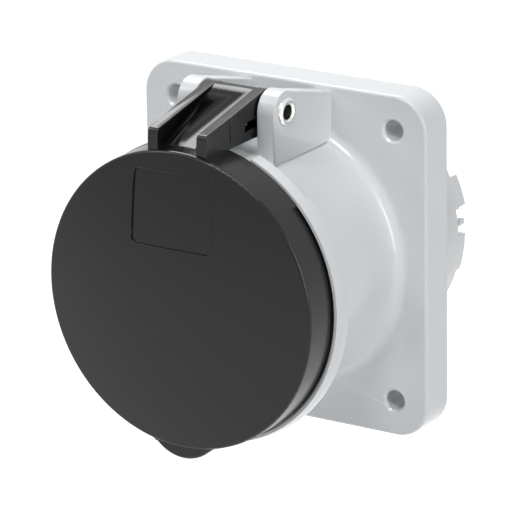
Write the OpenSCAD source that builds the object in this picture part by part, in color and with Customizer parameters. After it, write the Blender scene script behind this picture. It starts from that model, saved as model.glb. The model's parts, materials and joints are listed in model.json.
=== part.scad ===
// Panel-mounting industrial socket-outlet for three phases and earth, with a pilot contact and a sprung lid.
// +Z is up, the panel face is the plane y = 0, and the plug goes in from -Y.
// Each piece is drawn with its own Z pointing out of the panel, then turned upright by facing_out(),
// so "height" below means the distance out from the panel face.

/* [Flange] */
// Width of the flange
flange_w = 100; // [96:1:130]
// Height of the flange
flange_h = 107; // [104:1:140]
// Depth of the flange, from the panel to its front
flange_t = 12; // [10:0.5:16]
// Radius of the flange's corners
flange_corner_r = 11; // [6:0.5:14]
// Rounding of the flange's front edge
flange_edge_r = 1; // [0.6:0.1:3.5]
// Wall of the hollow flange
flange_wall = 3; // [2:0.2:4.4]
// From the flange's side to the middle of a fixing hole
hole_inset_x = 11.5; // [10:0.5:16]
// From the flange's top to the middle of a fixing hole
hole_inset_z = 11; // [10:0.5:16]
// Diameter of the four fixing holes
hole_d = 6.4; // [4.5:0.1:8]
// Wall round a fixing hole
boss_wall = 2.6; // [1.6:0.2:3.4]
// Thickness of the stiffening ribs behind the flange
rib_t = 1.8; // [1.2:0.1:3]
// Thickness of the panel gasket
gasket_t = 2.4; // [1.5:0.1:4]
// Width of the panel gasket
gasket_w = 5.4; // [3.5:0.1:6]

/* [Collar] */
// Outside radius of the collar
collar_r = 40; // [34:0.5:41]
// Wall of the collar
collar_wall = 3.2; // [2.4:0.1:4]
// From the panel to the front of the collar
collar_l = 66; // [60:1:90]
// Rounding where the collar leaves the flange
collar_root_r = 4; // [2:0.5:5]
// From the collar's front back to the rim's seat for the lid
rim_back = 8.8; // [7:0.2:12]
// Depth of the rim from front to back
rim_t = 4.6; // [3:0.2:8]
// How far the rim stands out past the lid
rim_lip = 2.2; // [1.6:0.1:4]
// Height of the thin wall that the lid's edge sits inside
rim_nest = 1.4; // [0.8:0.1:1.6]
// Half of the angle at the top over which that wall is left off, so that the lid can swing
rim_open_angle = 47; // [47:1:80]
// How far the rim still stands out past the lid there
rim_low_lip = 0.4; // [0.2:0.1:1]
// Radial width of the gap that takes the plug's shroud
shroud_gap = 5.55; // [5:0.05:7]
// Width of the keyway
keyway_w = 8; // [6:0.5:10]
// Depth of the keyway, outwards from the collar's bore
keyway_depth = 3.7; // [2.5:0.1:4]

/* [Hinge] */
// From the collar's front back to the hinge axis
hinge_back = 28.9; // [26:0.1:34]
// From the lid's outside up to the hinge axis
hinge_rise = 6; // [5:0.1:10]
// Diameter of the hinge pin
pin_d = 6; // [4:0.1:6.6]
// Bore of the tubular hinge pin
pin_bore_d = 4.6; // [2:0.1:4.8]
// Diameter of the pin's rolled ends
pin_lip_d = 8.8; // [8.8:0.1:10]
// Radius of the hinge ears' round ends
ear_r = 6.5; // [6:0.1:7.5]
// Thickness of one hinge ear
ear_t = 6.2; // [4:0.1:8]
// Clear width between the ears
ear_gap = 21.8; // [20:0.1:26]
// How far the ears' tops come down at the flange
ear_fall = 6.8; // [4:0.1:9]
// Wire diameter of the lid's spring
spring_wire_d = 1.1; // [0.8:0.1:1.2]
// Number of turns of the lid's spring
spring_turns = 8; // [5:1:8]

/* [Lid] */
// Wall of the lid
lid_wall = 2.6; // [2:0.1:3.5]
// Gap between the collar and the inside of the lid's skirt
lid_room = 3.2; // [2.8:0.1:5]
// Depth of the lid's skirt
lid_skirt = 12.9; // [11:0.1:18]
// How far the middle of the lid's face stands out
lid_dome = 4.3; // [2:0.1:8]
// Rounding of the lid's front edge
lid_edge_r = 1.1; // [0.6:0.1:1.6]
// Radius of the tab at the bottom of the lid
tab_r = 13; // [11:0.5:16]
// How far the tab stands out past the lid's edge
tab_out = 3.8; // [3:0.1:6]
// Radius of the hollow shoulders beside the tab
tab_shoulder_r = 5; // [3:0.5:8]
// Width of the bare field on the lid
field_w = 28; // [16:0.5:34]
// Height of the bare field on the lid
field_h = 22.3; // [12:0.1:26]
// Height of the field's middle above the lid's middle
field_up = 28.2; // [24:0.1:29]
// Depth of the bare field
field_depth = 0.5; // [0.2:0.1:1]
// Corner radius of the bare field
field_r = 1.5; // [0.5:0.1:3]
// Radius of the faint disc in the middle of the lid
disc_r = 13.3; // [8:0.1:16]
// Width of each rib of the lid's arm
arm_rib_t = 3.5; // [3:0.1:4.4]
// Height of the arm's front ends above the lid's edge
arm_front_up = 5.9; // [4:0.1:8]
// Radius of the arm's knuckles
knuckle_r = 6; // [5:0.1:6.2]
// Thickness of the sloping plate between the ribs
arm_plate_t = 2; // [1.5:0.1:2.4]
// Thickness of the lid's sealing ring
seal_t = 2; // [1.5:0.1:2.1]

/* [Contacts] */
// Diameter of the phase pins that the socket takes
phase_pin_d = 8; // [6:0.1:9.6]
// Diameter of the earth pin that the socket takes
earth_pin_d = 10; // [8:0.1:10.6]
// Diameter of the pilot pin that the socket takes
pilot_pin_d = 6; // [3:0.1:6.4]
// Wall of a contact sleeve
sleeve_wall = 1.9; // [1.4:0.1:2.2]
// From the carrier's side in to the contacts' pitch circle
pitch_inset = 10.25; // [9.5:0.05:11]
// From the collar's front back to the carrier's face
carrier_back = 6; // [3:0.5:10]
// Depth of the pin holes in a contact sleeve
sleeve_depth = 33; // [20:1:36]
// Radius of the terminal at the back of a main contact
terminal_r = 8.2; // [7:0.1:8.4]
// Diameter of the wire hole in a main terminal
wire_d = 9; // [6:0.1:9.6]
// Diameter of the terminal screws' threads
terminal_screw_d = 5.8; // [4:0.1:6]

/* [Back] */
// From the panel to the back of the terminal block
back_l = 24.5; // [22:0.5:36]
// Rounding of the terminal block's back edge
back_edge_r = 0.8; // [0.4:0.1:1.2]
// Thickness of the back cover
cover_t = 2.4; // [1.6:0.1:3.4]
// How far the cover's grip blocks stand out behind the terminal block
grip_out = 6; // [5:0.5:9]

/* [Clearances] */
// Radial clearance of the lid's knuckles on the hinge pin
hinge_fit = 0.06; // [0.02:0.01:0.1]
// Radial clearance of parts that are pushed together and stay
push_fit = 0.03; // [0.01:0.01:0.05]
// Radial clearance of a plug's pin in its sleeve
pin_fit = 0.05; // [0.02:0.01:0.1]
// Gap between pieces that drop into each other
seat_gap = 0.2; // [0.1:0.05:0.3]
// Gap beside and behind the lid where it moves past the housing
swing_gap = 0.6; // [0.4:0.05:0.8]

/* [Hidden] */
$fn = 96;

light_grey = [0.80, 0.81, 0.82];
black = [0.16, 0.16, 0.17];
rubber = [0.10, 0.10, 0.10];
brass = [0.80, 0.64, 0.36];
steel = [0.72, 0.73, 0.75];

eps = 0.01;          // lets cuts run past a face
arm_gap = 0.4;       // beside the lid's arm, between the ears

// Flange and the hub behind it
hole_x = flange_w / 2 - hole_inset_x;
hole_z = flange_h / 2 - hole_inset_z;
boss_r = hole_d / 2 + boss_wall;
hole_rim = 0.7;
collar_in = collar_r - collar_wall;
counterbore_r = collar_r - 1.4;
counterbore_depth = 8;
hub_r = collar_r + 3.4;
ledge_t = 5;
ledge_r = collar_in - 3.4;
carrier_base_back = counterbore_depth + ledge_t;

// Rim and lid
lid_in = collar_r + lid_room;
lid_r = lid_in + lid_wall;
rim_face = collar_l - rim_back;
rim_r = lid_r + rim_lip;
lid_back = rim_face + swing_gap;
lid_edge = lid_back + lid_skirt;
dome_r = (lid_r * lid_r + lid_dome * lid_dome) / (2 * lid_dome);
dome_mid = lid_edge + lid_dome - dome_r;
seal_back = collar_l + 0.3;
seal_out = lid_in - seat_gap;
seal_in = collar_in - 0.8;
tab_mid = lid_r + tab_out - tab_r;
tab_edge = lid_edge - 0.6;

// Keyway ridge on the collar
ridge_wall = 2;
keyway_r = collar_in + keyway_depth;
ridge_r = min(keyway_r + ridge_wall, lid_in + tab_out - swing_gap - 2);

// Hinge
hinge_out = collar_l - hinge_back;
hinge_up = lid_r + hinge_rise;
ear_in = ear_gap / 2;
ear_out = ear_in + ear_t;
arm_out = ear_in - arm_gap;
arm_side_step = 0.8;
arm_front_out = arm_out - arm_side_step + 0.5;
arm_in = arm_front_out - arm_rib_t;
arm_front = lid_edge - 1.2;
arm_round_r = 1.6;
arm_floor = lid_r - 1.3;
plate_front = arm_front - 1.5;
plate_front_up = lid_r - 1.5;
hood_in = knuckle_r - 1.2;
arm_floor_t = 1.8;

// Spring
coil_r = pin_d / 2 + 0.4 + spring_wire_d / 2;
coil_end = arm_in - 0.9;
coil_sweep = 360 * spring_turns - 45;
coil_steps = 14 * spring_turns;

// Contact carrier and contacts
carrier_r = collar_in - shroud_gap;
carrier_face = collar_l - carrier_back;
pitch_r = carrier_r - pitch_inset;
base_r = collar_in - 0.3;
base_t = 5;
carrier_base_front = carrier_base_back + base_t;
spigot_r = ledge_r - seat_gap;
spigot_t = 9;
contact_hours = [7, 10, 1, 4];   // earth, then the phases, by the clock as the plug's user sees it
sleeve_front = carrier_face - 3.5;
pilot_front = sleeve_front - 8;
journal_wall = 0.7;
journal_t = 8;
shoulder_h = carrier_base_back - 1;
terminal_back = back_l - 4;
terminal_chamber = seat_gap;
pilot_wall = 1.4;
pilot_terminal_r = 6;
pilot_wire_d = 3.6;
pilot_screw_d = 3.2;
screw_head_r = 3.3;
screw_heights = [-4.6, -13];
screw_access_r = screw_head_r + 0.4;
hook_r = collar_r - 2.6;
carrier_screw_r = pitch_r + 6;
carrier_screw_d = 3.6;
carrier_screw_angles = [15, 195, 285];
pilot_screw_angle = 105;
pilot_screw_h = -9;
wire_hole_l = 19;
slot_l = 22;
ring_back = 4.4;     // from a sleeve's front back to its spring ring
ring_groove = 0.45;
ring_wire_r = 0.42;
thread_gap = 0.1;
carrier_screw_tip = carrier_base_front + 9;

// Turns a piece drawn with Z out of the panel into its upright place.
module facing_out() { rotate([90, 0, 0]) children(); }

// Extrudes a profile drawn as (height out, up) sideways, from x0 to x1.
module side_slab(x0, x1) {
    translate([x0, 0, 0]) rotate([90, 0, 90]) linear_extrude(x1 - x0) swap_axes() children();
}

// Profiles for side_slab are drawn with x as height out and y as up, and come out as (up, out).
module swap_axes() { mirror([1, -1]) children(); }

module rounded_rect(w, h, r) {
    square([w - 2 * r, h], center = true);
    square([w, h - 2 * r], center = true);
    for (x = [-1, 1], y = [-1, 1]) translate([x * (w / 2 - r), y * (h / 2 - r)]) circle(r);
}

// Half of a slab's section, from a corner's centre outwards, with its front edge rounded.
module edge_section(run, t, edge_r) {
    square([run - edge_r, t]);
    square([run, t - edge_r]);
    translate([run - edge_r, t - edge_r]) circle(edge_r);
}

// A slab with round corners whose front edge is rounded all the way along.
module rounded_slab(w, h, t, corner_r, edge_r) {
    cx = w / 2 - corner_r;
    cy = h / 2 - corner_r;
    translate([-cx, -cy, 0]) cube([2 * cx, 2 * cy, t]);
    for (m = [0, 1]) mirror([m, 0, 0]) {
        translate([cx, cy, 0]) rotate([90, 0, 0]) linear_extrude(2 * cy) edge_section(corner_r, t, edge_r);
        for (n = [0, 1]) mirror([0, n, 0])
            translate([cx, cy, 0]) rotate_extrude(angle = 90) edge_section(corner_r, t, edge_r);
    }
    for (n = [0, 1]) mirror([0, n, 0])
        translate([-cx, cy, 0]) rotate([90, 0, 90]) linear_extrude(2 * cx) edge_section(corner_r, t, edge_r);
}

// A tube from one height to another.
module ring(r_in, r_out, from, to) {
    difference() {
        translate([0, 0, from]) cylinder(r = r_out, h = to - from);
        translate([0, 0, from - 1]) cylinder(r = r_in, h = to - from + 2);
    }
}

// A plain bore from one height to another.
module bore(r, from, to) { translate([0, 0, from]) cylinder(r = r, h = to - from); }

// The ball whose top is the lid's face, or lies a depth below it.
module dome(depth) { translate([0, 0, dome_mid]) sphere(dome_r - depth); }

// What lies nearer than a depth to the lid's face, or beyond it.
module outside_dome(depth) {
    difference() {
        translate([0, 0, lid_back]) cylinder(r = lid_r + tab_out + 4, h = lid_skirt + lid_dome + 4);
        dome(depth);
    }
}

// Places children at each fixing hole of the flange.
module at_holes() {
    for (x = [-1, 1], y = [-1, 1]) translate([x * hole_x, y * hole_z, 0]) children();
}

module at_clock(hour, r) {
    a = 90 - 30 * hour;
    translate([r * cos(a), r * sin(a), 0]) children();
}

// ---------------------------------------------------------------- housing

module flange_shell() {
    pocket_top = flange_t - flange_wall;
    difference() {
        rounded_slab(flange_w, flange_h, flange_t, flange_corner_r, flange_edge_r);
        translate([0, 0, -1]) linear_extrude(pocket_top + 1)
            rounded_rect(flange_w - 2 * flange_wall, flange_h - 2 * flange_wall, flange_corner_r - flange_wall);
    }
    cylinder(r = hub_r, h = pocket_top + eps);
    at_holes() cylinder(r = boss_r, h = pocket_top + eps);
    translate([0, 0, gasket_t]) linear_extrude(pocket_top - gasket_t + eps) intersection() {
        rounded_rect(flange_w - 2 * flange_wall + eps, flange_h - 2 * flange_wall + eps,
            flange_corner_r - flange_wall);
        for (a = [0, 90, 22, 158, -22, -158, 64, 116, -64, -116])
            rotate(a) translate([0, -rib_t / 2]) square([flange_w, rib_t]);
    }
}

module collar_outside() {
    rotate_extrude() {
        translate([0, flange_t - 1]) square([collar_r, collar_l - flange_t + 0.4]);
        translate([0, collar_l - 0.6]) square([collar_r - 0.6, 0.6]);
        translate([collar_r - 0.6, collar_l - 0.6]) circle(0.6);
        difference() {
            translate([collar_r - 1, flange_t - 1]) square([collar_root_r + 1, collar_root_r + 1]);
            translate([collar_r + collar_root_r, flange_t + collar_root_r]) circle(collar_root_r);
        }
    }
}

// The rim behind the lid: its seat, and the thin wall round the lid's edge, left off at the top.
module rim() {
    wall_in = lid_r + swing_gap;
    edge = 0.7;
    tab_notch = shoulder_mid(tab_shoulder_r)[0] + swing_gap;
    difference() {
        rotate_extrude() polygon([[collar_r - 1, rim_face - rim_t - 0.8], [rim_r - edge, rim_face - rim_t],
            [rim_r, rim_face - rim_t + edge], [rim_r, rim_face - 2.2], [rim_r - edge, rim_face + rim_nest],
            [wall_in, rim_face + rim_nest], [wall_in, rim_face], [collar_r - 1, rim_face]]);
        rotate(90 - rim_open_angle) rotate_extrude(angle = 2 * rim_open_angle) {
            translate([lid_in, rim_face]) square([rim_r - lid_in + 1, rim_nest + 1]);
            translate([lid_r + rim_low_lip, rim_face - rim_t - 1]) square([rim_lip + 1, rim_t + rim_nest + 2]);
        }
        translate([-tab_notch, -rim_r - 1, rim_face]) cube([2 * tab_notch, rim_r - lid_in, rim_nest + 1]);
        translate([-ear_out, collar_r + eps, rim_face - rim_t - 4])
            cube([2 * ear_out, 12, rim_t + rim_nest + 6]);
    }
}

module ear_profile() {
    translate([hinge_out, hinge_up]) circle(ear_r);
    polygon([[flange_t - 1, collar_in], [hinge_out + ear_r, collar_in], [hinge_out + ear_r, hinge_up],
        [hinge_out, hinge_up + ear_r], [flange_t - 1, hinge_up + ear_r - ear_fall]]);
}

module housing() {
    color(light_grey) facing_out() difference() {
        union() {
            flange_shell();
            collar_outside();
            rim();
            translate([-keyway_w / 2 - ridge_wall, -ridge_r, flange_t - 1])
                cube([keyway_w + 2 * ridge_wall, ridge_r - collar_in, collar_l - flange_t + 0.7]);
            for (m = [0, 1]) mirror([m, 0, 0]) side_slab(ear_in, ear_out) ear_profile();
        }
        bore(collar_in, carrier_base_back, collar_l + 1);
        bore(ledge_r, counterbore_depth - 1, carrier_base_back + 1);
        bore(counterbore_r, -1, counterbore_depth);
        translate([-keyway_w / 2, -keyway_r, carrier_base_back])
            cube([keyway_w, keyway_r - collar_in + 4, collar_l]);
        at_holes() {
            bore(hole_d / 2, -1, flange_t + 1);
            translate([0, 0, flange_t - hole_rim])
                cylinder(r1 = hole_d / 2, r2 = hole_d / 2 + hole_rim + eps, h = hole_rim + eps);
        }
        translate([-ear_out - 1, hinge_up, hinge_out]) rotate([0, 90, 0])
            cylinder(r = pin_d / 2 + push_fit, h = 2 * ear_out + 2);
    }
}

// A ring of rubber inside the flange's wall, level with the panel face, resting on the ribs.
module flange_gasket() {
    out_w = flange_w - 2 * (flange_wall + seat_gap);
    out_h = flange_h - 2 * (flange_wall + seat_gap);
    out_r = flange_corner_r - flange_wall - seat_gap;
    color(rubber) facing_out() linear_extrude(gasket_t) difference() {
        rounded_rect(out_w, out_h, out_r);
        rounded_rect(out_w - 2 * gasket_w, out_h - 2 * gasket_w, max(out_r - gasket_w, 1));
        for (x = [-1, 1], y = [-1, 1]) translate([x * hole_x, y * hole_z]) circle(boss_r + seat_gap);
        circle(hub_r + seat_gap);
    }
}

// A tubular rivet with a rolled lip at each end.
module hinge_pin() {
    wall = (pin_d - pin_bore_d) / 2;
    lip_mid = (pin_lip_d / 2 + pin_bore_d / 2) / 2;
    lip_r = pin_lip_d / 2 - lip_mid;
    color(steel) facing_out() translate([0, hinge_up, hinge_out]) rotate([0, 90, 0]) {
        rotate_extrude() translate([pin_bore_d / 2, -ear_out - lip_r / 2]) square([wall, 2 * ear_out + lip_r]);
        for (m = [0, 1]) mirror([0, 0, m]) rotate_extrude() intersection() {
            translate([lip_mid, ear_out]) circle(lip_r);
            translate([pin_bore_d / 2, ear_out]) square([lip_r * 2, lip_r]);
        }
    }
}

// ---------------------------------------------------------------- lid

// Where a round of radius r touches both the lid's edge and the tab, beside the tab.
function shoulder_mid(r) = let(
    a = lid_r + r,
    b = tab_r + r,
    y = -(a * a - b * b + tab_mid * tab_mid) / (2 * tab_mid)
) [sqrt(a * a - y * y), y];

module shoulder_outline() {
    m = shoulder_mid(tab_shoulder_r);
    to_lid = m * lid_r / (lid_r + tab_shoulder_r);
    to_tab = [0, -tab_mid] + (m + [0, tab_mid]) * tab_r / (tab_r + tab_shoulder_r);
    difference() {
        polygon([[0, -tab_mid], to_lid, m, to_tab]);
        translate(m) circle(tab_shoulder_r);
    }
}

// The lid's outside, turned: a skirt, a rounded edge and the dome, which touch without a step.
module lid_disc() {
    edge_mid = lid_r - lid_edge_r;
    edge_h = dome_mid + sqrt(pow(dome_r - lid_edge_r, 2) - edge_mid * edge_mid);
    rotate_extrude() {
        translate([0, lid_back]) square([lid_r, edge_h - lid_back]);
        translate([edge_mid, edge_h]) circle(lid_edge_r);
        intersection() {
            translate([0, dome_mid]) circle(dome_r);
            translate([0, lid_back]) square([edge_mid * dome_r / (dome_r - lid_edge_r), lid_skirt + lid_dome + 1]);
        }
    }
}

module lid_tab() {
    translate([0, -tab_mid, 0]) rotate_extrude() {
        translate([0, lid_back]) square([tab_r, tab_edge - lid_edge_r - lid_back]);
        translate([0, lid_back]) square([tab_r - lid_edge_r, tab_edge - lid_back]);
        translate([tab_r - lid_edge_r, tab_edge - lid_edge_r]) circle(lid_edge_r);
    }
    for (m = [0, 1]) mirror([m, 0, 0])
        translate([0, 0, lid_back]) linear_extrude(tab_edge - 0.3 - lid_back) shoulder_outline();
}

// Where a line over a round in front touches the knuckle, as an angle about the hinge. The same angle
// gives the line's way up from the round's middle.
function touch_angle(mid, r) = let(span = mid - [hinge_out, hinge_up])
    atan2(span[1], span[0]) + acos((knuckle_r - r) / norm(span));
function knuckle_point(a) = [hinge_out, hinge_up] + knuckle_r * [cos(a), sin(a)];

// The side view of one rib of the lid's arm, as (height out, up).
module arm_rib_profile() {
    front_mid = [arm_front - arm_round_r, lid_r + arm_front_up - arm_round_r];
    lean = touch_angle(front_mid, arm_round_r);
    difference() {
        union() {
            translate([hinge_out, hinge_up]) circle(knuckle_r);
            polygon([[arm_front, arm_floor - 2], [arm_front, front_mid[1]], front_mid,
                front_mid + arm_round_r * [cos(lean), sin(lean)], knuckle_point(lean),
                [hinge_out, hinge_up], [hinge_out, hinge_up - knuckle_r],
                [hinge_out + 4, arm_floor], [lid_back, arm_floor], [lid_back, arm_floor - 2]]);
            translate(front_mid) circle(arm_round_r);
        }
        translate([hinge_out, hinge_up]) circle(pin_d / 2 + hinge_fit);
        polygon([[hinge_out + 5, hinge_up - 4.1], [hinge_out + 12.8, hinge_up - 4.1],
            [hinge_out + 11.4, hinge_up - 1.4], [hinge_out + 6.4, hinge_up - 1.4]]);
    }
}

// The same view of what joins the ribs: the sloping plate that runs up onto the hood over the spring,
// and the floor.
module arm_web_profile() {
    lean = touch_angle([plate_front, plate_front_up], 0);
    back = knuckle_point(lean);
    difference() {
        union() {
            polygon([[plate_front, plate_front_up], back, back - [0, arm_plate_t],
                [plate_front, plate_front_up - arm_plate_t]]);
            intersection() {
                translate([hinge_out, hinge_up]) circle(knuckle_r);
                polygon([[hinge_out - 0.2, hinge_up + 3], [back[0] + 0.5, hinge_up + 3],
                    [back[0] + 0.5, hinge_up + knuckle_r + 1], [hinge_out - 0.2, hinge_up + knuckle_r + 1]]);
            }
            polygon([[hinge_out + 7, arm_floor], [arm_front - 8, arm_floor],
                [arm_front - 8, arm_floor + arm_floor_t], [hinge_out + 7, arm_floor + arm_floor_t]]);
        }
        translate([hinge_out, hinge_up]) circle(hood_in);
    }
}

module lid_arm() {
    for (m = [0, 1]) mirror([m, 0, 0]) {
        side_slab(arm_in, arm_front_out) arm_rib_profile();
        side_slab(arm_front_out - eps, arm_out) intersection() {
            arm_rib_profile();
            translate([hinge_out - 10, arm_floor + 2]) square([lid_back - 1 - hinge_out + 10, 20]);
        }
    }
    side_slab(-arm_in - eps, arm_in + eps) arm_web_profile();
}

// Long shallow hollows in the plate, beside each rib, that narrow towards the hinge.
module plate_hollows() {
    back = knuckle_point(touch_angle([plate_front, plate_front_up], 0));
    run = plate_front - back[0];
    rise = back[1] - plate_front_up;
    len = norm([run, rise]);
    from_rib = arm_in - 0.6;
    hollow_w = 2.9;
    hollow_depth = 1.1;
    for (m = [0, 1]) mirror([m, 0, 0])
        translate([0, back[1], back[0]]) rotate([atan(rise / run), 0, 0])
            translate([0, -hollow_depth, 0]) rotate([-90, 0, 0]) linear_extrude(6)
                polygon([[from_rib, -0.3 * len], [from_rib, -0.93 * len], [from_rib - hollow_w, -0.93 * len],
                    [from_rib - hollow_w, -0.88 * len]]);
}

module lid() {
    color(black) facing_out() {
        difference() {
            union() {
                lid_disc();
                lid_tab();
                difference() {
                    lid_arm();
                    plate_hollows();
                }
            }
            intersection() {
                bore(lid_in, lid_back - 1, lid_edge + lid_dome);
                dome(lid_wall);
            }
            translate([0, -tab_mid, 0]) bore(tab_r - lid_wall, lid_back - 1, tab_edge - lid_wall);
            intersection() {
                translate([0, field_up, lid_edge - 2]) linear_extrude(lid_dome + 4)
                    rounded_rect(field_w, field_h, field_r);
                outside_dome(field_depth);
            }
            intersection() {
                ring(disc_r - 0.35, disc_r, lid_edge, lid_edge + lid_dome + 2);
                outside_dome(0.2);
            }
        }
        // What holds the sealing ring, and the ribs behind the face
        intersection() {
            union() {
                ring(seal_in, lid_in + 0.5, seal_back + seal_t, lid_edge + lid_dome);
                ring(seal_in - 1.8, seal_in - seat_gap, seal_back + 0.8, lid_edge + lid_dome);
                ring(disc_r, disc_r + 1.2, lid_edge - 0.2, lid_edge + lid_dome);
                for (a = [0:45:315]) rotate(a) translate([disc_r + 1, -0.7, lid_edge - 0.6])
                    cube([seal_in - disc_r - 2, 1.4, lid_dome]);
            }
            dome(lid_wall - 0.3);
        }
    }
}

module lid_seal() {
    color(rubber) facing_out() difference() {
        ring(seal_in, seal_out, seal_back, seal_back + seal_t);
        ring(seal_in + 1.6, seal_in + 2.4, seal_back - 1, seal_back + 0.6);
        ring(seal_out - 2.4, seal_out - 1.6, seal_back - 1, seal_back + 0.6);
    }
}

// Points along the spring's wire, as (x, out, up). One leg lies on the floor of the lid's arm, and the
// other on the collar, so that opening the lid winds the coil tighter.
function coil_point(x, a) = [x, hinge_out + coil_r * cos(a), hinge_up + coil_r * sin(a)];
leg_floor = arm_floor + arm_floor_t + spring_wire_d / 2 + 0.1;
leg_collar = sqrt(collar_r * collar_r - coil_end * coil_end) + spring_wire_d / 2 + 0.1;
leg_drop = hinge_up + coil_r * sin(-45) - leg_collar;
wire_path = concat(
    [[coil_end, hinge_out + 13, leg_floor], [coil_end, hinge_out + 9.6, leg_floor],
        [coil_end, hinge_out + 8, hinge_up - coil_r], [coil_end, hinge_out + 3, hinge_up - coil_r]],
    [for (i = [0:coil_steps]) let(share = i / coil_steps)
        coil_point(coil_end - 2 * coil_end * share, 270 - coil_sweep * share)],
    [coil_point(-coil_end, -45) - (leg_drop - 0.5) * [0, 1, 1],
        [-coil_end, hinge_out + coil_r * cos(-45) - leg_drop - 1, leg_collar],
        [-coil_end, hinge_out + coil_r * cos(-45) - leg_drop - 5, leg_collar]]);

// Sweeps a round wire with the given number of sides along a path.
module wire_sweep(path, r, sides) {
    n = len(path);
    function along(i) = let(a = path[max(i - 1, 0)], b = path[min(i + 1, n - 1)]) (b - a) / norm(b - a);
    function across(i) = let(t = along(i), s = cross(t, [1, 0.02, 0.03])) s / norm(s);
    rings = [for (i = [0:n - 1]) let(u = across(i), v = cross(along(i), u))
        for (k = [0:sides - 1]) let(a = 360 * k / sides) path[i] + r * (cos(a) * u + sin(a) * v)];
    faces = concat(
        [for (i = [0:n - 2], k = [0:sides - 1]) let(a = i * sides, k2 = (k + 1) % sides)
            [a + k, a + sides + k, a + sides + k2]],
        [for (i = [0:n - 2], k = [0:sides - 1]) let(a = i * sides, k2 = (k + 1) % sides)
            [a + k, a + sides + k2, a + k2]],
        [[for (k = [0:sides - 1]) k]],
        [[for (k = [0:sides - 1]) n * sides - 1 - k]]);
    polyhedron(rings, faces);
}

module lid_spring() {
    color(steel) facing_out()
        wire_sweep([for (p = wire_path) [p[0], p[2], p[1]]], spring_wire_d / 2, 8);
}

// ---------------------------------------------------------------- contact carrier and terminal block

// Radius of the bore that a sleeve's journal is pushed into: earth at 0, then the phases.
function sleeve_bore_r(i) =
    (i == 0 ? earth_pin_d : phase_pin_d) / 2 + pin_fit + sleeve_wall + journal_wall + push_fit;
function pilot_bore_r() = pilot_pin_d / 2 + pin_fit + pilot_wall + journal_wall + push_fit;

// The holes of the three carrier screws, from one height to another.
module carrier_screw_holes(r, from, to) {
    for (a = carrier_screw_angles) rotate(a) translate([carrier_screw_r, 0, 0]) bore(r, from, to);
}

// A sleeve's bore through the carrier, with a bevelled mouth.
module sleeve_bore(r) {
    mouth = 0.6;
    bore(r, carrier_base_front - 1, carrier_face + 1);
    translate([0, 0, carrier_face - mouth]) cylinder(r1 = r, r2 = r + mouth + eps, h = mouth + eps);
}

// The insulating block that stands inside the plug's shroud, with a bore for each sleeve, open at its face.
module contact_carrier() {
    face_round = 1;
    color(black) facing_out() difference() {
        rotate_extrude() {
            translate([0, carrier_base_front]) square([carrier_r, carrier_face - carrier_base_front - face_round]);
            translate([0, carrier_base_front]) square([carrier_r - face_round, carrier_face - carrier_base_front]);
            translate([carrier_r - face_round, carrier_face - face_round]) circle(face_round);
        }
        for (i = [0:3]) at_clock(contact_hours[i], pitch_r) sleeve_bore(sleeve_bore_r(i));
        sleeve_bore(pilot_bore_r());
        carrier_screw_holes(carrier_screw_d / 2 + thread_gap, carrier_base_front - 1, carrier_screw_tip + 0.5);
    }
}

// The keyed disc behind that block, with a spigot in the housing's ledge and a chamber for each terminal.
module carrier_base() {
    spigot_back = carrier_base_back - spigot_t;
    color(black) facing_out() difference() {
        union() {
            bore(base_r, carrier_base_back, carrier_base_front);
            bore(spigot_r, spigot_back, carrier_base_back + eps);
            translate([-keyway_w / 2 + seat_gap, -keyway_r + seat_gap, carrier_base_back])
                cube([keyway_w - 2 * seat_gap, keyway_r - carrier_r, base_t]);
        }
        for (i = [0:3]) at_clock(contact_hours[i], pitch_r) {
            bore(sleeve_bore_r(i), shoulder_h - 1, carrier_base_front + 1);
            bore(terminal_r + terminal_chamber, spigot_back - 1, shoulder_h);
        }
        bore(pilot_bore_r(), shoulder_h - 1, carrier_base_front + 1);
        bore(pilot_terminal_r + terminal_chamber, spigot_back - 1, shoulder_h);
        carrier_screw_holes(carrier_screw_d / 2 + thread_gap, spigot_back - 1, carrier_base_front + 1);
    }
}

// Lays children's Z along the way a main terminal's screws go in, from the terminal's middle:
// the four contacts are served from the bottom, the left, the top and the right.
module along_screw(i) { rotate([0, 0, [-90, 180, 90, 0][i]]) rotate([0, 90, 0]) children(); }

// One snap hook on the terminal block's back, which holds the cover.
module cover_hook() {
    translate([hook_r, -0.9, -back_l - grip_out + 1.6]) cube([2, 1.8, grip_out]);
    translate([hook_r, -0.9, 0]) rotate([-90, 0, 0]) linear_extrude(1.8)
        polygon([[-1, back_l + cover_t + 0.1], [2, back_l + cover_t + 0.1], [2, back_l + grip_out - 1.6],
            [0.9, back_l + grip_out - 1.6]]);
}

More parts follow.
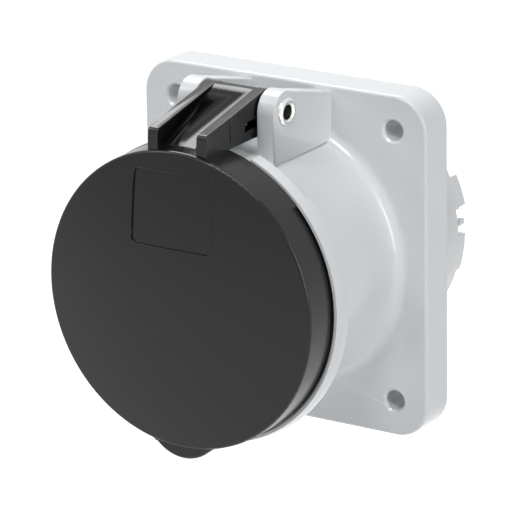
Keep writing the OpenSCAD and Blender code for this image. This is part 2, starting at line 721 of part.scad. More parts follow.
module terminal_block() {
    color(light_grey) facing_out() difference() {
        union() {
            rotate_extrude() {
                translate([0, -back_l + back_edge_r]) square([collar_r, back_l - back_edge_r]);
                translate([0, -back_l]) square([collar_r - back_edge_r, back_l]);
                translate([collar_r - back_edge_r, -back_l + back_edge_r]) circle(back_edge_r);
                translate([0, -1]) square([counterbore_r - seat_gap, counterbore_depth + 1]);
            }
            for (q = [0:3]) rotate(5 + 90 * q) cover_hook();
        }
        bore(ledge_r, carrier_base_back - spigot_t, counterbore_depth + 1);
        ring(counterbore_r - seat_gap - 2, counterbore_r, 2.6, 5);
        for (i = [0:3]) at_clock(contact_hours[i], pitch_r) {
            bore(terminal_r + terminal_chamber, -terminal_back - 0.4, counterbore_depth + 1);
            bore(wire_d / 2 + 0.3, -back_l - 1, 0);
            for (h = screw_heights) translate([0, 0, h]) along_screw(i) bore(screw_access_r, 0, collar_r);
        }
        bore(pilot_terminal_r + terminal_chamber, -terminal_back - 0.4, counterbore_depth + 1);
        bore(pilot_wire_d / 2 + 0.4, -back_l - 1, 0);
        translate([0, 0, pilot_screw_h]) rotate(pilot_screw_angle) rotate([0, 90, 0]) bore(2.9, 0, collar_r + 1);
        carrier_screw_holes(carrier_screw_d / 2 + 0.3, -back_l, counterbore_depth + 1);
        carrier_screw_holes(carrier_screw_d, -back_l - 1, -back_l + 4);
    }
}

module body_seal() {
    seal_mid = counterbore_r - seat_gap - 0.85;
    color(rubber) facing_out() translate([0, 0, 3.8]) rotate_extrude() translate([seal_mid, 0]) circle(0.95);
}

// A sector of a ring, between two angles.
module sector(r_in, r_out, a0, a1, from, to) {
    translate([0, 0, from]) rotate(a0) rotate_extrude(angle = a1 - a0)
        translate([r_in, 0]) square([r_out - r_in, to - from]);
}

// The disc that closes the back, with funnels for the wires and grips round its edge.
module back_cover() {
    cover_r = collar_r - 0.4;
    grip_in = cover_r - 4.6;
    color(light_grey) facing_out() difference() {
        union() {
            bore(cover_r, -back_l - cover_t, -back_l);
            for (i = [0:3]) at_clock(contact_hours[i], pitch_r)
                bore(wire_d / 2 + 3.8, -back_l - cover_t - 1.4, -back_l);
            for (q = [0:3]) {
                sector(grip_in, cover_r, 90 * q + 12, 90 * q + 26, -back_l - grip_out, -back_l - 1);
                sector(grip_in + 2.2, cover_r, 90 * q - 18, 90 * q, -back_l - grip_out + 1.6, -back_l - 1);
            }
        }
        for (i = [0:3]) at_clock(contact_hours[i], pitch_r) {
            bore(wire_d / 2 + 0.3, -back_l - 8, 0);
            translate([0, 0, -back_l - cover_t - 1.4 - eps])
                cylinder(r1 = wire_d / 2 + 2.4, r2 = wire_d / 2 + 0.3, h = 2.4);
        }
        bore(pilot_wire_d / 2 + 0.4, -back_l - 8, 0);
        translate([0, 0, -back_l - cover_t - eps])
            cylinder(r1 = pilot_wire_d / 2 + 1.8, r2 = pilot_wire_d / 2 + 0.4, h = 1.4);
        for (q = [0:3]) sector(hook_r - seat_gap, collar_r, 90 * q - 0.5, 90 * q + 11.5, -back_l - 9, -back_l + 1);
    }
}

// ---------------------------------------------------------------- contacts

function sleeve_out(pin_d, wall) = pin_d / 2 + pin_fit + wall;

// A turned contact: a slotted sleeve in front and a terminal with a blind wire hole behind.
module turned_contact(pin_d, wall, front, terminal, wire) {
    in_r = pin_d / 2 + pin_fit;
    out_r = sleeve_out(pin_d, wall);
    slot_w = 0.9;
    difference() {
        union() {
            bore(out_r, shoulder_h, front);
            bore(out_r + journal_wall, shoulder_h - eps, shoulder_h + journal_t);
            bore(terminal, -terminal_back, shoulder_h);
        }
        bore(in_r, front - sleeve_depth, front + 1);
        translate([0, 0, front - 0.7]) cylinder(r1 = in_r, r2 = in_r + 0.8, h = 0.8);
        bore(wire / 2, -terminal_back - 1, -terminal_back + wire_hole_l);
        for (a = [0, 90]) rotate(a + 45) translate([-out_r - 1, -slot_w / 2, front - slot_l])
            cube([2 * out_r + 2, slot_w, slot_l + 1]);
        ring(out_r - ring_groove, out_r + 1, front - ring_back - 0.6, front - ring_back + 0.6);
    }
}

module main_contact(i) {
    color(brass) facing_out() at_clock(contact_hours[i], pitch_r) difference() {
        turned_contact(i == 0 ? earth_pin_d : phase_pin_d, sleeve_wall, sleeve_front, terminal_r, wire_d);
        for (h = screw_heights) translate([0, 0, h]) along_screw(i)
            bore(terminal_screw_d / 2 + thread_gap, 0, terminal_r + 1);
    }
}

module contact_pilot() {
    color(brass) facing_out() difference() {
        turned_contact(pilot_pin_d, pilot_wall, pilot_front, pilot_terminal_r, pilot_wire_d);
        translate([0, 0, pilot_screw_h]) rotate(pilot_screw_angle) rotate([0, 90, 0])
            bore(pilot_screw_d / 2 + thread_gap, 0, pilot_terminal_r + 1);
    }
}

// The spring steel ring that keeps a slotted sleeve closed on the pin.
module sleeve_ring(out_r, front) {
    color(steel) facing_out() translate([0, 0, front - ring_back]) rotate(8)
        rotate_extrude(angle = 344) translate([out_r - ring_groove + ring_wire_r + 0.02, 0]) circle(ring_wire_r);
}

module main_sleeve_ring(i) {
    at = [for (a = [90 - 30 * contact_hours[i]]) [pitch_r * cos(a), pitch_r * sin(a)]][0];
    pin = i == 0 ? earth_pin_d : phase_pin_d;
    translate([at[0], 0, at[1]]) sleeve_ring(sleeve_out(pin, sleeve_wall), sleeve_front);
}

// A slotted screw along Z, from its tip to the top of its head.
module slotted_screw(d, tip, under_head, head_d, head_t) {
    difference() {
        union() {
            bore(d / 2 - 0.4, tip, tip + 0.8);
            bore(d / 2, tip + 0.7, under_head + eps);
            bore(head_d / 2, under_head, under_head + head_t);
        }
        translate([-head_d, -0.5, under_head + head_t - 1.2]) cube([2 * head_d, 1, 2]);
    }
}

module main_terminal_screws(i) {
    color(steel) facing_out() at_clock(contact_hours[i], pitch_r)
        for (h = screw_heights) translate([0, 0, h]) along_screw(i) rotate(20)
            slotted_screw(terminal_screw_d, wire_d / 2 - 1, terminal_r + 1.4, 2 * screw_head_r, 2.8);
}

module terminal_screw_pilot() {
    color(steel) facing_out() translate([0, 0, pilot_screw_h]) rotate(pilot_screw_angle) rotate([0, 90, 0])
        slotted_screw(pilot_screw_d, pilot_wire_d / 2 - 0.6, pilot_terminal_r + 1, 5, 2);
}

// The three screws that clamp the carrier and the terminal block on the housing's ledge.
module carrier_screws() {
    color(steel) facing_out() for (a = carrier_screw_angles) rotate(a) translate([carrier_screw_r, 0, 0])
        rotate([180, 0, 0])
            slotted_screw(carrier_screw_d, -carrier_screw_tip, back_l - 4, 2 * carrier_screw_d - 0.5, 2.6);
}

housing();
flange_gasket();
hinge_pin();
lid();
lid_seal();
lid_spring();
contact_carrier();
carrier_base();
terminal_block();
body_seal();
back_cover();
carrier_screws();
main_contact(0);  // contact_earth
main_contact(1);  // contact_l1
main_contact(2);  // contact_l2
main_contact(3);  // contact_l3
contact_pilot();
main_sleeve_ring(0);  // sleeve_ring_earth
main_sleeve_ring(1);  // sleeve_ring_l1
main_sleeve_ring(2);  // sleeve_ring_l2
main_sleeve_ring(3);  // sleeve_ring_l3
sleeve_ring(sleeve_out(pilot_pin_d, pilot_wall), pilot_front);  // sleeve_ring_pilot
main_terminal_screws(0);  // terminal_screws_earth
main_terminal_screws(1);  // terminal_screws_l1
main_terminal_screws(2);  // terminal_screws_l2
main_terminal_screws(3);  // terminal_screws_l3
terminal_screw_pilot();
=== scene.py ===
import json
import math

import bmesh
import bpy
from mathutils import Matrix, Vector

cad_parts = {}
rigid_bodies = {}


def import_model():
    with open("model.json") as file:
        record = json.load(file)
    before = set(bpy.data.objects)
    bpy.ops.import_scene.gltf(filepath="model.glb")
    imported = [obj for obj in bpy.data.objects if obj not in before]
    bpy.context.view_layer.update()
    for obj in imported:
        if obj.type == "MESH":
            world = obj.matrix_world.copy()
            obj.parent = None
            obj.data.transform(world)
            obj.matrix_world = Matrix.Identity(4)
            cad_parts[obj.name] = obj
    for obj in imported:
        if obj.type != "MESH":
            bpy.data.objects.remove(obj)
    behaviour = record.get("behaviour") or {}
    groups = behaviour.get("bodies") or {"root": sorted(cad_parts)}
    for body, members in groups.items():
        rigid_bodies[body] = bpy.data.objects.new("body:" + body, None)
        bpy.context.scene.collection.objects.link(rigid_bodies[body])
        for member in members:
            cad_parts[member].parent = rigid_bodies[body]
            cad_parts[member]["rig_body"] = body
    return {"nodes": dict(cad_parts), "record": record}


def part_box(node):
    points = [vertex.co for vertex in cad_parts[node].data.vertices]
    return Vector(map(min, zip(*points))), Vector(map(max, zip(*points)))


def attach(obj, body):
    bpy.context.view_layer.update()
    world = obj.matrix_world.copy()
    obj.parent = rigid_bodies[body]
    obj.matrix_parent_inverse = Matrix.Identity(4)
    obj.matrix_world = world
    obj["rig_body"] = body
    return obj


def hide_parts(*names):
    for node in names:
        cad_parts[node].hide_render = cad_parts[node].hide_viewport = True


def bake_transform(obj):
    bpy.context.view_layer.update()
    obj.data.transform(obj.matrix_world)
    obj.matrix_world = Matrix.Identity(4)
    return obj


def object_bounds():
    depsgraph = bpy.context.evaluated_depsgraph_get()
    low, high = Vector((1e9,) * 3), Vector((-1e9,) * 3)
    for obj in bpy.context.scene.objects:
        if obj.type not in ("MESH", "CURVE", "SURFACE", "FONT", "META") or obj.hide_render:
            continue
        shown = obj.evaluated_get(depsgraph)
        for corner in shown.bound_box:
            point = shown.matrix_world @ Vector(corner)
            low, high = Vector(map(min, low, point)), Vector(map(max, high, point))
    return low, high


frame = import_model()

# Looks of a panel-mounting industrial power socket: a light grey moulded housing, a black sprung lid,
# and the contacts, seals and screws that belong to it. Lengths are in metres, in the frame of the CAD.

scene = bpy.context.scene
scene.view_settings.view_transform = "Standard"
cad_low, cad_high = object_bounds()
MM = 0.001
AIM = Vector((0, -30 * MM, 0))       # the camera and every lamp are turned towards this point
STAY_SHARP = math.radians(34)        # faces that meet at a larger angle keep a sharp edge between them


# ------------------------------------------------------------------ building node trees

def fitted(tree, kind, inputs=None, **settings):
    """A new node. Each of its inputs gets a value, or is joined to another node's output."""
    node = tree.nodes.new(kind)
    for key, value in settings.items():
        setattr(node, key, value)
    for key, value in (inputs or {}).items():
        if isinstance(value, bpy.types.NodeSocket):
            tree.links.new(value, node.inputs[key])
        else:
            node.inputs[key].default_value = value
    return node


def maths(tree, operation, *values, **settings):
    """The result of a Math node on the values, in their order."""
    return fitted(tree, "ShaderNodeMath", dict(enumerate(values)), operation=operation, **settings).outputs[0]


def new_group(name, tree_type, takes, gives):
    """A node group with named sockets, what it is given, and what it puts out.

    takes holds (name, kind, value) and gives holds (name, kind)."""
    tree = bpy.data.node_groups.new(name, tree_type)
    for label, kind, value in takes:
        socket = tree.interface.new_socket(name=label, in_out="INPUT", socket_type="NodeSocket" + kind)
        if value is not None:
            socket.default_value = value
    for label, kind in gives:
        tree.interface.new_socket(name=label, in_out="OUTPUT", socket_type="NodeSocket" + kind)
    return tree, tree.nodes.new("NodeGroupInput").outputs, tree.nodes.new("NodeGroupOutput").inputs


# ------------------------------------------------------------------ camera, floor and light

CAMERA_TURN, CAMERA_RISE, CAMERA_ROLL = 32.97, 18.36, -0.92       # degrees
CAMERA_AWAY = 1.369
LENS, SENSOR = 318.6, 36                                          # millimetres
SHIFT = (0.00924, 0.01175)


def look_camera():
    """The camera stands to the right of the socket's front and a little above it, with a long lens."""
    turn, rise, roll = (math.radians(angle) for angle in (CAMERA_TURN, CAMERA_RISE, CAMERA_ROLL))
    back = Vector((math.sin(turn) * math.cos(rise), -math.cos(turn) * math.cos(rise), math.sin(rise)))
    level = Vector((math.cos(turn), math.sin(turn), 0))
    upright = back.cross(level)
    right = level * math.cos(roll) + upright * math.sin(roll)
    up = upright * math.cos(roll) - level * math.sin(roll)
    data = bpy.data.cameras.new("product_camera")
    data.lens, data.sensor_width = LENS, SENSOR
    data.shift_x, data.shift_y = SHIFT
    data.clip_start, data.clip_end = 0.05, 40
    camera = bpy.data.objects.new("product_camera", data)
    scene.collection.objects.link(camera)
    turned = Matrix((right, up, back)).transposed().to_4x4()
    camera.matrix_world = Matrix.Translation(AIM + back * CAMERA_AWAY) @ turned
    scene.camera = camera


# name, place, width, height and power of each soft lamp
LAMPS = (
    ("key_top", (0.25, -0.62, 1.15), 0.35, 0.35, 6.5),
    ("high_front", (-0.25, -1.05, 1.00), 0.35, 0.35, 3.6),
    ("key_left", (-0.95, -0.70, 1.00), 0.35, 0.35, 3.4),
    ("overhead", (-0.55, 0.42, 1.02), 0.6, 0.5, 9.0),
    ("right_strip", (1.15, -0.20, 0.30), 0.16, 0.8, 5.5),
)
WORLD_FILL = 0.06


def softbox(name, place, width, height, power):
    """An area lamp at a place, turned towards the socket."""
    data = bpy.data.lights.new(name, "AREA")
    data.shape, data.size, data.size_y, data.energy = "RECTANGLE", width, height, power
    lamp = bpy.data.objects.new(name, data)
    lamp.location = place
    lamp.rotation_euler = (AIM - Vector(place)).to_track_quat("-Z", "Y").to_euler()
    scene.collection.objects.link(lamp)


def studio():
    """Air that shows white and gives a little even light, and the soft lamps above and beside the socket."""
    world = bpy.data.worlds.new("studio_air")
    world.use_nodes = True
    scene.world = world
    tree = world.node_tree
    tree.nodes.clear()
    path = fitted(tree, "ShaderNodeLightPath").outputs
    looked_at = maths(tree, "MAXIMUM", path["Is Camera Ray"], path["Is Glossy Ray"])
    shown = maths(tree, "MAXIMUM", looked_at, path["Is Transmission Ray"])
    fill = fitted(tree, "ShaderNodeBackground", {"Color": (0.93, 0.96, 1, 1), "Strength": WORLD_FILL})
    white = fitted(tree, "ShaderNodeBackground", {"Color": (1, 1, 1, 1), "Strength": 1})
    mix = fitted(tree, "ShaderNodeMixShader", {0: shown, 1: fill.outputs[0], 2: white.outputs[0]})
    fitted(tree, "ShaderNodeOutputWorld", {"Surface": mix.outputs[0]})
    for lamp in LAMPS:
        softbox(*lamp)


FLOOR_SIZE = 16
FLOOR_DROP = 0.22                    # from the socket's lowest point down to the floor
GLOW_NEAR, GLOW_FAR = 0.62, 1.0      # the floor's own glow, near the socket and far from it
GLOW_FROM, GLOW_TO = 0.5, 2.0        # where it begins to grow, and where it is full


def pale_floor():
    """A pale floor below the socket, which glows so that it shows white.

    It lies so far down that the shadows of the high lamps fall below the camera's view. Seen from above, it comes
    out plain white all round the socket, so no shadow shows there either."""
    bpy.ops.mesh.primitive_plane_add(size=FLOOR_SIZE, location=(0, 0, cad_low.z - FLOOR_DROP))
    floor = bpy.context.object
    floor.name = "pale_floor"
    material = bpy.data.materials.new("floor_paint")
    material.use_nodes = True
    tree = material.node_tree
    tree.nodes.clear()
    place = fitted(tree, "ShaderNodeTexCoord").outputs["Object"]
    away = fitted(tree, "ShaderNodeVectorMath", {0: place}, operation="LENGTH").outputs["Value"]
    sweep = fitted(tree, "ShaderNodeMapRange", {"Value": away, "From Min": GLOW_FROM, "From Max": GLOW_TO,
                                                "To Min": GLOW_NEAR, "To Max": GLOW_FAR})
    paint = fitted(tree, "ShaderNodeBsdfDiffuse", {"Color": (0.86, 0.86, 0.86, 1)})
    glow = fitted(tree, "ShaderNodeEmission", {"Color": (1, 1, 1, 1), "Strength": sweep.outputs["Result"]})
    lit = fitted(tree, "ShaderNodeAddShader", {0: paint.outputs[0], 1: glow.outputs[0]})
    path = fitted(tree, "ShaderNodeLightPath").outputs
    shown = maths(tree, "MAXIMUM", path["Is Camera Ray"], path["Is Glossy Ray"])
    mix = fitted(tree, "ShaderNodeMixShader", {0: shown, 1: paint.outputs[0], 2: lit.outputs[0]})
    fitted(tree, "ShaderNodeOutputMaterial", {"Surface": mix.outputs[0]})
    floor.data.materials.append(material)


look_camera()
studio()
pale_floor()


# ------------------------------------------------------------------ finishes

def moulded_skin_group():
    """The skin of an injection moulding: a fine spark-eroded grain, slow waviness from shrinkage, and cloudiness.

    Puts out a height for a bump, a roughness that drifts by a few hundredths, and a colour that drifts too."""
    tree, given, made = new_group("moulded_skin", "ShaderNodeTree", (
        ("Colour", "Color", (0.5, 0.5, 0.5, 1)), ("Roughness", "Float", 0.4), ("Grain Scale", "Float", 5200.0),
        ("Drift", "Float", 0.04), ("Drag", "Float", 0.0)),
        (("Colour", "Color"), ("Roughness", "Float"), ("Height", "Float")))
    place = fitted(tree, "ShaderNodeTexCoord").outputs["Object"]

    def noise(where, scale, detail, **more):
        inputs = {"Vector": where, "Scale": scale, "Detail": detail, **more}
        return fitted(tree, "ShaderNodeTexNoise", inputs).outputs["Fac"]

    grain = noise(place, given["Grain Scale"], 3, Roughness=0.62)
    wave = noise(place, 34, 2)
    cloud = noise(place, 85, 5)
    drift = maths(tree, "MULTIPLY", maths(tree, "SUBTRACT", cloud, 0.5), given["Drift"])
    rough = maths(tree, "ADD", given["Roughness"], drift, use_clamp=True)
    shade = maths(tree, "MULTIPLY_ADD", drift, 1.6, 1.0)
    tint = fitted(tree, "ShaderNodeVectorMath", {0: given["Colour"], "Scale": shade}, operation="SCALE")

    # Drag marks run along Y, the way the moulding leaves its tool.
    pull = fitted(tree, "ShaderNodeMapping", {"Vector": place, "Scale": (1, 0.03, 1)}).outputs["Vector"]
    streak = noise(pull, 1500, 3)
    dragged = maths(tree, "MULTIPLY_ADD", streak, given["Drag"], grain)
    height = maths(tree, "MULTIPLY_ADD", wave, 4.0, dragged)

    tree.links.new(tint.outputs["Vector"], made["Colour"])
    tree.links.new(rough, made["Roughness"])
    tree.links.new(height, made["Height"])
    return tree


def turned_metal_group():
    """Metal that was turned, drawn or plated: fine marks along one axis, and slight tarnish in patches."""
    tree, given, made = new_group("turned_metal", "ShaderNodeTree", (
        ("Colour", "Color", (0.7, 0.7, 0.7, 1)), ("Tarnish", "Color", (0.4, 0.35, 0.3, 1)),
        ("Roughness", "Float", 0.3), ("Marks", "Float", 1400.0)),
        (("Colour", "Color"), ("Roughness", "Float"), ("Height", "Float")))
    place = fitted(tree, "ShaderNodeTexCoord").outputs["Object"]
    stretch = fitted(tree, "ShaderNodeMapping", {"Vector": place, "Scale": (0.06, 1, 0.06)}).outputs["Vector"]
    marks = fitted(tree, "ShaderNodeTexNoise", {"Vector": stretch, "Scale": given["Marks"], "Detail": 4})
    patch = fitted(tree, "ShaderNodeTexNoise", {"Vector": place, "Scale": 240, "Detail": 6})
    share = fitted(tree, "ShaderNodeMapRange", {
        "Value": patch.outputs["Fac"], "From Min": 0.48, "From Max": 0.78, "To Max": 0.35}).outputs["Result"]
    mix = fitted(tree, "ShaderNodeMix", {"Factor": share, "A": given["Colour"], "B": given["Tarnish"]},
                 data_type="RGBA")
    rough = maths(tree, "MULTIPLY_ADD", share, 0.35, given["Roughness"], use_clamp=True)
    tree.links.new(mix.outputs["Result"], made["Colour"])
    tree.links.new(rough, made["Roughness"])
    tree.links.new(marks.outputs["Fac"], made["Height"])
    return tree


MOULDED = moulded_skin_group()
TURNED = turned_metal_group()


def finish_material(name, group, values, relief, depth, metallic, specular):
    """A Principled surface fed by one of the groups above. relief is the bump's strength, and depth its height."""
    material = bpy.data.materials.new(name)
    material.use_nodes = True
    tree = material.node_tree
    surface = tree.nodes["Principled BSDF"].inputs
    skin = fitted(tree, "ShaderNodeGroup", values, node_tree=group).outputs
    bump = fitted(tree, "ShaderNodeBump", {"Strength": relief, "Distance": depth, "Height": skin["Height"]})
    tree.links.new(bump.outputs["Normal"], surface["Normal"])
    tree.links.new(skin["Colour"], surface["Base Color"])
    tree.links.new(skin["Roughness"], surface["Roughness"])
    surface["Metallic"].default_value = metallic
    surface["Specular IOR Level"].default_value = specular
    return material


def moulding(name, colour, roughness, grain, drift, relief, depth, specular, drag=0.0):
    """Moulded plastic or rubber."""
    values = {"Colour": colour, "Roughness": roughness, "Grain Scale": grain, "Drift": drift, "Drag": drag}
    return finish_material(name, MOULDED, values, relief, depth, 0.0, specular)


def metal(name, colour, tarnish, roughness, marks, relief):
    """Bare or plated metal."""
    values = {"Colour": colour, "Tarnish": tarnish, "Roughness": roughness, "Marks": marks}
    return finish_material(name, TURNED, values, relief, 0.01 * MM, 1.0, 0.5)


FINISHES = {
    "housing_grey": moulding("housing_grey_moulding", (0.70, 0.72, 0.735, 1), roughness=0.2, grain=5200.0,
                             drift=0.03, relief=0.12, depth=0.01 * MM, specular=0.5),
    "lid_black": moulding("lid_black_moulding", (0.005, 0.005, 0.0055, 1), roughness=0.22, grain=4300.0,
                          drift=0.05, relief=0.25, depth=0.01 * MM, specular=0.34, drag=2.0),
    "carrier_black": moulding("carrier_black_moulding", (0.03, 0.03, 0.033, 1), roughness=0.58, grain=3600.0,
                              drift=0.08, relief=0.5, depth=0.02 * MM, specular=0.4),
    "gasket_rubber": moulding("gasket_rubber", (0.024, 0.024, 0.025, 1), roughness=0.78, grain=2600.0,
                              drift=0.12, relief=0.7, depth=0.03 * MM, specular=0.3),
    "bright_steel": metal("pin_nickel_plate", (0.80, 0.80, 0.79, 1), (0.52, 0.50, 0.46, 1),
                          roughness=0.16, marks=2600.0, relief=0.10),
    "spring_steel": metal("spring_wire_steel", (0.60, 0.60, 0.60, 1), (0.36, 0.34, 0.31, 1),
                          roughness=0.30, marks=3200.0, relief=0.25),
    "zinc_steel": metal("zinc_plated_steel", (0.68, 0.70, 0.72, 1), (0.44, 0.45, 0.46, 1),
                        roughness=0.34, marks=1800.0, relief=0.25),
    "contact_brass": metal("turned_brass", (0.78, 0.58, 0.27, 1), (0.46, 0.30, 0.12, 1),
                           roughness=0.26, marks=2400.0, relief=0.22),
}

SLOT_OF = {part["node"]: part["material_slot"] for part in frame["record"]["subparts"]}


def give_finish(piece, slot):
    piece.data.materials.clear()
    piece.data.materials.append(FINISHES[slot])


# ------------------------------------------------------------------ mouldings with softened edges

JOIN = 1e-6                          # corners nearer than this are one corner
FLAT = math.radians(0.05)            # faces that meet at less than this are one face


def merged_copy(node):
    """A bmesh of a CAD node with its corners joined, and its flat faces made whole."""
    mesh = bmesh.new()
    mesh.from_mesh(frame["nodes"][node].data)
    bmesh.ops.remove_doubles(mesh, verts=mesh.verts, dist=JOIN)
    bmesh.ops.dissolve_degenerate(mesh, edges=mesh.edges, dist=JOIN)
    bmesh.ops.dissolve_limit(mesh, angle_limit=FLAT, verts=mesh.verts, edges=mesh.edges)
    return mesh


def worked(piece, *stages):
    """Runs each stage as a modifier on a piece, and keeps the plain mesh that comes out."""
    for kind, settings in stages:
        modifier = piece.modifiers.new(kind.lower(), kind)
        for key, value in settings.items():
            setattr(modifier, key, value)
        evaluated = piece.evaluated_get(bpy.context.evaluated_depsgraph_get())
        made = bpy.data.meshes.new_from_object(evaluated)
        piece.modifiers.clear()
        piece.data = made
        made.shade_smooth()
        made.set_sharp_from_angle(angle=STAY_SHARP)


NEAR_FORM = 0.03 * MM                # a corner this near a ball or tube lies on it
SAME_WAY = 0.98                      # a face that looks nearly the same way as the form there


def true_normals(piece, forms):
    """Faces that lie on a ball, or on a tube along Y, take its own normals, so that they mirror without facets.

    Each form is (kind, centre, radius)."""
    mesh = piece.data
    normals = [corner.vector.copy() for corner in mesh.corner_normals]
    for face in mesh.polygons:
        for kind, centre, radius in forms:
            aways = []
            for index in face.vertices:
                away = mesh.vertices[index].co - centre
                if kind == "tube":
                    away.y = 0
                if abs(away.length - radius) > NEAR_FORM:
                    break
                aways.append(away.normalized())
            if len(aways) < len(face.vertices):
                continue
            side = sum(aways, Vector()).normalized().dot(face.normal)
            if abs(side) > SAME_WAY:
                for loop, away in zip(face.loop_indices, aways):
                    normals[loop] = away if side > 0 else -away
                break
    mesh.normals_split_custom_set(normals)


DISC_LINE = (12.8 * MM, 13.4 * MM)   # the groove round the disc in the lid's middle, from its inner to its outer edge
DISC_LINE_DEPTH = 0.02 * MM


def shallow_disc_line(mesh):
    """Almost fills the groove round the disc in the middle of the lid's face, so that it hardly shows."""
    for vert in mesh.verts:
        away = vert.co - BALL
        round_r = math.hypot(vert.co.x, vert.co.z)
        in_groove = BALL_R - 0.3 * MM < away.length < BALL_R - 0.1 * MM
        if DISC_LINE[0] < round_r < DISC_LINE[1] and in_groove:
            vert.co = BALL + away * ((BALL_R - DISC_LINE_DEPTH) / away.length)


SOFTEN_FROM = math.radians(30)       # only edges that turn by more than this are rounded off


def softened(node, name, width, wanted, forms, change=None):
    """A copy of a CAD node whose sharp outer edges are rounded off, as a mould's are.

    wanted(middle, edge) says which edges, with middle in millimetres from the origin."""
    mesh = merged_copy(node)
    if change:
        change(mesh)
    weights = mesh.edges.layers.float.new("bevel_weight_edge")
    for edge in mesh.edges:
        if edge.is_manifold and edge.is_convex and edge.calc_face_angle(0) > SOFTEN_FROM:
            middle = (edge.verts[0].co + edge.verts[1].co) / (2 * MM)
            edge[weights] = 1.0 if wanted(middle, edge) else 0.0
    data = bpy.data.meshes.new(name)
    mesh.to_mesh(data)
    mesh.free()
    piece = bpy.data.objects.new(name, data)
    scene.collection.objects.link(piece)
    worked(piece,
           ("BEVEL", {"width": width, "segments": 3, "limit_method": "WEIGHT", "use_clamp_overlap": False,
                      "miter_outer": "MITER_ARC"}),
           ("WEIGHTED_NORMAL", {"keep_sharp": True, "mode": "FACE_AREA", "weight": 50}))
    true_normals(piece, forms)
    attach(piece, frame["nodes"][node]["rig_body"])
    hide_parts(node)
    give_finish(piece, SLOT_OF[node])


def lid_edges(middle, edge):
    """The long edges of the arm's two ribs, from the round in front up to the knuckle."""
    x, y, z = middle
    run = edge.verts[1].co - edge.verts[0].co
    return z > 50.0 and 6.5 < abs(x) < 11.2 and y > -70.5 and abs(run.x) < 0.2 * run.length


def housing_edges(middle, edge):
    """The hinge ears' edges that stand free."""
    x, y, z = middle
    return z > 40.5 and 10.5 < abs(x) < 17.5 and y < -13.5


def back_edges(middle, edge):
    """What stands at the very back."""
    return middle.y > 24.8


LID_LOW, LID_HIGH = (Vector(corner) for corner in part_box("lid"))
LID_R = (LID_HIGH.x - LID_LOW.x) / 2
DOME = 4.3 * MM          # how far the lid's face rises from its edge to its middle
BALL_R = (LID_R * LID_R + DOME * DOME) / (2 * DOME)
BALL = Vector((0, LID_LOW.y + BALL_R, 0))
AXIS = Vector((0, 0, 0))
FIELD_STEP = 0.5 * MM    # how far the bare field and the disc lie under the lid's face
COLLAR_R, BORE_R = 40 * MM, 36.8 * MM
RIM_R, RIM_LOW_R = 48 * MM, 46.2 * MM
COVER_R = 39.6 * MM

softened("lid", "lid_moulding", 0.4 * MM, lid_edges, (
    ("ball", BALL, BALL_R), ("ball", BALL, BALL_R - FIELD_STEP), ("tube", AXIS, LID_R)), shallow_disc_line)
softened("housing", "housing_moulding", 0.5 * MM, housing_edges, tuple(
    ("tube", AXIS, radius) for radius in (COLLAR_R, BORE_R, RIM_R, RIM_LOW_R)))
softened("terminal_block", "terminal_block_moulding", 0.3 * MM, back_edges, (("tube", AXIS, COLLAR_R),))
# The back cover's flat outer face comes out folded over itself here, and shows black from behind.
softened("back_cover", "back_cover_moulding", 0.3 * MM, back_edges, (("tube", AXIS, COVER_R),))


# ------------------------------------------------------------------ the lid's spring, wound along its coil

def finish_tree(tree, mesh, given, made):
    """Ends a tree: its instances are made real, and it gets its material."""
    real = fitted(tree, "GeometryNodeRealizeInstances", {"Geometry": mesh})
    paint = fitted(tree, "GeometryNodeSetMaterial", {
        "Geometry": real.outputs["Geometry"], "Material": given["Material"]})
    tree.links.new(paint.outputs["Geometry"], made["Geometry"])


def wound_spring_tree():
    """A wire wound round X with straight legs at both ends, swept with a round section."""
    tree, given, made = new_group("wound_spring", "GeometryNodeTree", (
        ("Turns", "Float", 8.0), ("Coil Radius", "Float", 0.004), ("Length", "Float", 0.01),
        ("Wire Radius", "Float", 0.0005), ("Middle", "Vector", (0, 0, 0)), ("Turn To Start", "Float", 0.0),
        ("Leg A Start", "Vector", (0, 0, 0)), ("Leg A End", "Vector", (0, 0, 0)),
        ("Leg B Start", "Vector", (0, 0, 0)), ("Leg B End", "Vector", (0, 0, 0)),
        ("Material", "Material", None)), (("Geometry", "Geometry"),))
    coil = fitted(tree, "GeometryNodeCurveSpiral", {
        "Resolution": 28, "Rotations": given["Turns"], "Start Radius": given["Coil Radius"],
        "End Radius": given["Coil Radius"], "Height": given["Length"]})
    spin = fitted(tree, "ShaderNodeCombineXYZ", {"Z": given["Turn To Start"]})
    spun = fitted(tree, "GeometryNodeTransform", {
        "Geometry": coil.outputs["Curve"], "Rotation": spin.outputs["Vector"]})
    laid = fitted(tree, "GeometryNodeTransform", {
        "Geometry": spun.outputs["Geometry"], "Rotation": (0, math.radians(-90), 0),
        "Translation": given["Middle"]})
    joined = fitted(tree, "GeometryNodeJoinGeometry", {"Geometry": laid.outputs["Geometry"]})
    for leg in ("Leg A", "Leg B"):
        line = fitted(tree, "GeometryNodeCurvePrimitiveLine", {
            "Start": given[leg + " Start"], "End": given[leg + " End"]})
        tree.links.new(line.outputs["Curve"], joined.inputs["Geometry"])
    section = fitted(tree, "GeometryNodeCurvePrimitiveCircle", {
        "Resolution": 14, "Radius": given["Wire Radius"]})
    wire = fitted(tree, "GeometryNodeCurveToMesh", {
        "Curve": joined.outputs["Geometry"], "Profile Curve": section.outputs["Curve"], "Fill Caps": True})
    finish_tree(tree, wire.outputs["Mesh"], given, made)
    return tree


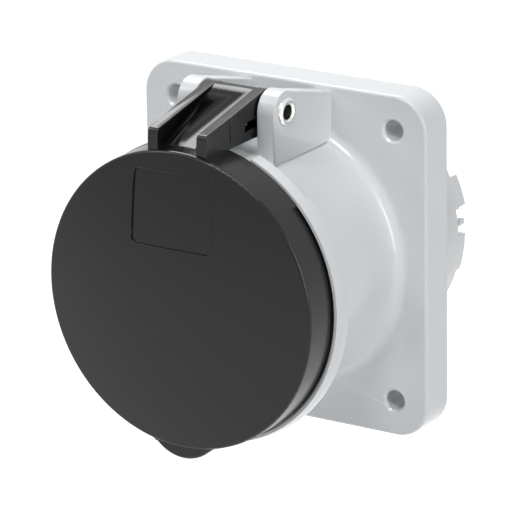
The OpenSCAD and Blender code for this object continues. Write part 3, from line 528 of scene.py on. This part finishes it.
def grown(name, tree, values):
    """A plain mesh object made by a geometry tree."""
    piece = bpy.data.objects.new(name, bpy.data.meshes.new(name))
    scene.collection.objects.link(piece)
    modifier = piece.modifiers.new("grow", "NODES")
    modifier.node_group = tree
    for item in tree.interface.items_tree:
        if item.in_out == "INPUT" and item.name in values:
            modifier[item.identifier] = values[item.name]
    evaluated = piece.evaluated_get(bpy.context.evaluated_depsgraph_get())
    made = bpy.data.meshes.new_from_object(evaluated)
    piece.modifiers.clear()
    piece.data = made
    made.shade_smooth()
    made.set_sharp_from_angle(angle=math.radians(50))
    return piece


def lid_spring():
    """The coil round the hinge pin. One leg presses on the lid's arm and the other on the collar."""
    hinge = next(j for j in frame["record"]["behaviour"]["joints"] if j["name"] == "lid_hinge")
    axis_y, axis_z = hinge["pos_m"][1], hinge["pos_m"][2]
    low, high = (Vector(corner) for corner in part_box("lid_spring"))
    wire_r, coil_r = 0.55 * MM, 3.95 * MM
    slant = 0.7071                   # leg B leaves the coil half way between its front and its underside
    half = (high.x - low.x) / 2 - wire_r
    piece = grown("lid_spring_wire", wound_spring_tree(), {
        "Turns": 7.875, "Coil Radius": coil_r, "Length": 2 * half, "Wire Radius": wire_r,
        "Middle": (half, axis_y, axis_z), "Turn To Start": math.radians(180),
        "Leg A Start": (half, axis_y, axis_z - coil_r),
        "Leg A End": (half, low.y + wire_r, axis_z - coil_r),
        "Leg B Start": (-half, axis_y - coil_r * slant, axis_z - coil_r * slant),
        "Leg B End": (-half, axis_y - coil_r * 0.35, low.z + wire_r),
        "Material": FINISHES["spring_steel"]})
    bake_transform(piece)
    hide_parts("lid_spring")
    give_finish(piece, SLOT_OF["lid_spring"])


# ------------------------------------------------------------------ the bead round the lid's bare field

FIELD_W, FIELD_H, FIELD_CORNER = 28.2 * MM, 22.5 * MM, 1.6 * MM
FIELD_UP = 28.2 * MM                 # from the lid's middle up to the field's
BEAD_R = 0.13 * MM


def field_bead_tree():
    """A thin bead along a rounded rectangle that lies on a ball."""
    tree, given, made = new_group("field_bead", "GeometryNodeTree", (
        ("Width", "Float", 0.028), ("Height", "Float", 0.022), ("Corner", "Float", 0.0015),
        ("Up", "Float", 0.028), ("Ball Middle Y", "Float", 0.17), ("Ball Radius", "Float", 0.246),
        ("Bead Radius", "Float", 0.0001), ("Material", "Material", None)), (("Geometry", "Geometry"),))
    outline = fitted(tree, "GeometryNodeCurvePrimitiveQuadrilateral", {
        "Width": given["Width"], "Height": given["Height"]})
    rounded = fitted(tree, "GeometryNodeFilletCurve", {
        "Curve": outline.outputs["Curve"], "Radius": given["Corner"], "Count": 8}, mode="POLY")
    even = fitted(tree, "GeometryNodeResampleCurve", {"Curve": rounded.outputs["Curve"], "Count": 220})

    spot = fitted(tree, "GeometryNodeInputPosition").outputs["Position"]
    drawn = fitted(tree, "ShaderNodeSeparateXYZ", {"Vector": spot}).outputs
    height = maths(tree, "ADD", drawn["Y"], given["Up"])
    flat = fitted(tree, "ShaderNodeCombineXYZ", {"X": drawn["X"], "Z": height}).outputs["Vector"]
    across = fitted(tree, "ShaderNodeVectorMath", {0: flat, 1: flat}, operation="DOT_PRODUCT").outputs["Value"]
    ball_square = maths(tree, "MULTIPLY", given["Ball Radius"], given["Ball Radius"])
    rise = maths(tree, "SQRT", maths(tree, "SUBTRACT", ball_square, across))
    on_ball = fitted(tree, "ShaderNodeCombineXYZ", {
        "X": drawn["X"], "Y": maths(tree, "SUBTRACT", given["Ball Middle Y"], rise), "Z": height})
    laid = fitted(tree, "GeometryNodeSetPosition", {
        "Geometry": even.outputs["Curve"], "Position": on_ball.outputs["Vector"]})

    section = fitted(tree, "GeometryNodeCurvePrimitiveCircle", {"Resolution": 8, "Radius": given["Bead Radius"]})
    bead = fitted(tree, "GeometryNodeCurveToMesh", {
        "Curve": laid.outputs["Geometry"], "Profile Curve": section.outputs["Curve"]})
    finish_tree(tree, bead.outputs["Mesh"], given, made)
    return tree


def field_bead():
    """The bead round the lid's bare field."""
    piece = grown("lid_field_bead", field_bead_tree(), {
        "Width": FIELD_W, "Height": FIELD_H, "Corner": FIELD_CORNER, "Up": FIELD_UP,
        "Ball Middle Y": BALL.y, "Ball Radius": BALL_R, "Bead Radius": BEAD_R,
        "Material": FINISHES["lid_black"]})
    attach(piece, "lid")
    give_finish(piece, "lid_black")


lid_spring()
field_bead()

for node, piece in frame["nodes"].items():
    if not piece.hide_render:
        give_finish(piece, SLOT_OF[node])
        piece.data.shade_smooth()
        piece.data.set_sharp_from_angle(angle=STAY_SHARP)
